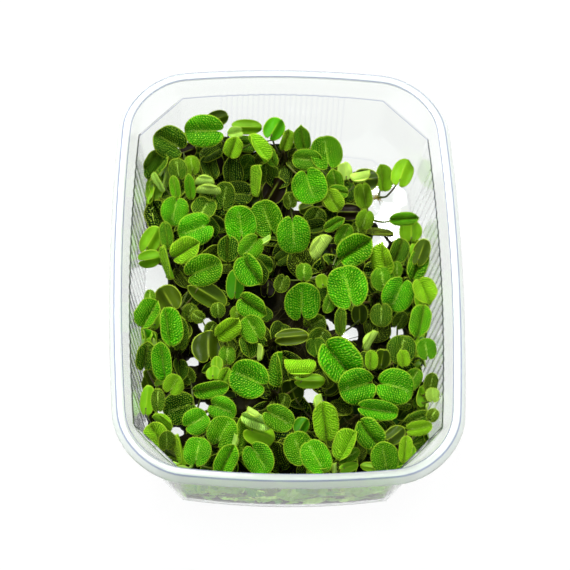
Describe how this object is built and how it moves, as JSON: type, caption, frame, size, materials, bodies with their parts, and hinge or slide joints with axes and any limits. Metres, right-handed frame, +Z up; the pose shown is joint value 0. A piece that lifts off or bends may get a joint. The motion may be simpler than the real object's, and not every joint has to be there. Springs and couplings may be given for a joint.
{
  "type": "tray of water spangles",
  "caption": "Clear fluted punnet filled with water spangles: round, bristly floating-fern leaves on short stems over matted brown roots.",
  "frame": {"origin": "centre of the tray's base, on the surface it stands on", "axes": "+Z up, out of the open tray; +Y along the tray's long side, away from the viewer in the picture; +X to the viewer's right"},
  "size_m": [0.1368, 0.1876, 0.0456],
  "materials": {
    "tray": "clear, thin, slightly green-grey sheet with glossy edges",
    "leaf": "soft matt green with pale bristles above, smooth lime green below",
    "root": "damp dark brown root hair and old leaves"
  },
  "bodies": {
    "root": {"tray": "tray", "root_tangle_1": "root", "spangle_01": "leaf", "spangle_02": "leaf", "spangle_03": "leaf", "spangle_04": "leaf", "spangle_05": "leaf", "spangle_06": "leaf", "spangle_07": "leaf", "spangle_08": "leaf", "spangle_09": "leaf", "spangle_10": "leaf", "spangle_11": "leaf", "spangle_12": "leaf", "spangle_13": "leaf", "spangle_14": "leaf", "spangle_15": "leaf", "spangle_16": "leaf", "spangle_17": "leaf", "spangle_18": "leaf", "spangle_19": "leaf", "spangle_20": "leaf", "spangle_21": "leaf", "spangle_22": "leaf", "spangle_23": "leaf", "spangle_24": "leaf", "spangle_25": "leaf", "spangle_26": "leaf", "spangle_27": "leaf", "spangle_28": "leaf", "spangle_29": "leaf", "spangle_30": "leaf", "spangle_31": "leaf", "spangle_32": "leaf", "spangle_33": "leaf", "spangle_34": "leaf", "spangle_35": "leaf", "spangle_36": "leaf", "spangle_37": "leaf", "spangle_38": "leaf", "spangle_39": "leaf", "spangle_40": "leaf", "spangle_41": "leaf", "spangle_42": "leaf", "spangle_43": "leaf", "spangle_44": "leaf", "spangle_45": "leaf", "spangle_46": "leaf", "spangle_47": "leaf"}
  },
  "joints": []
}
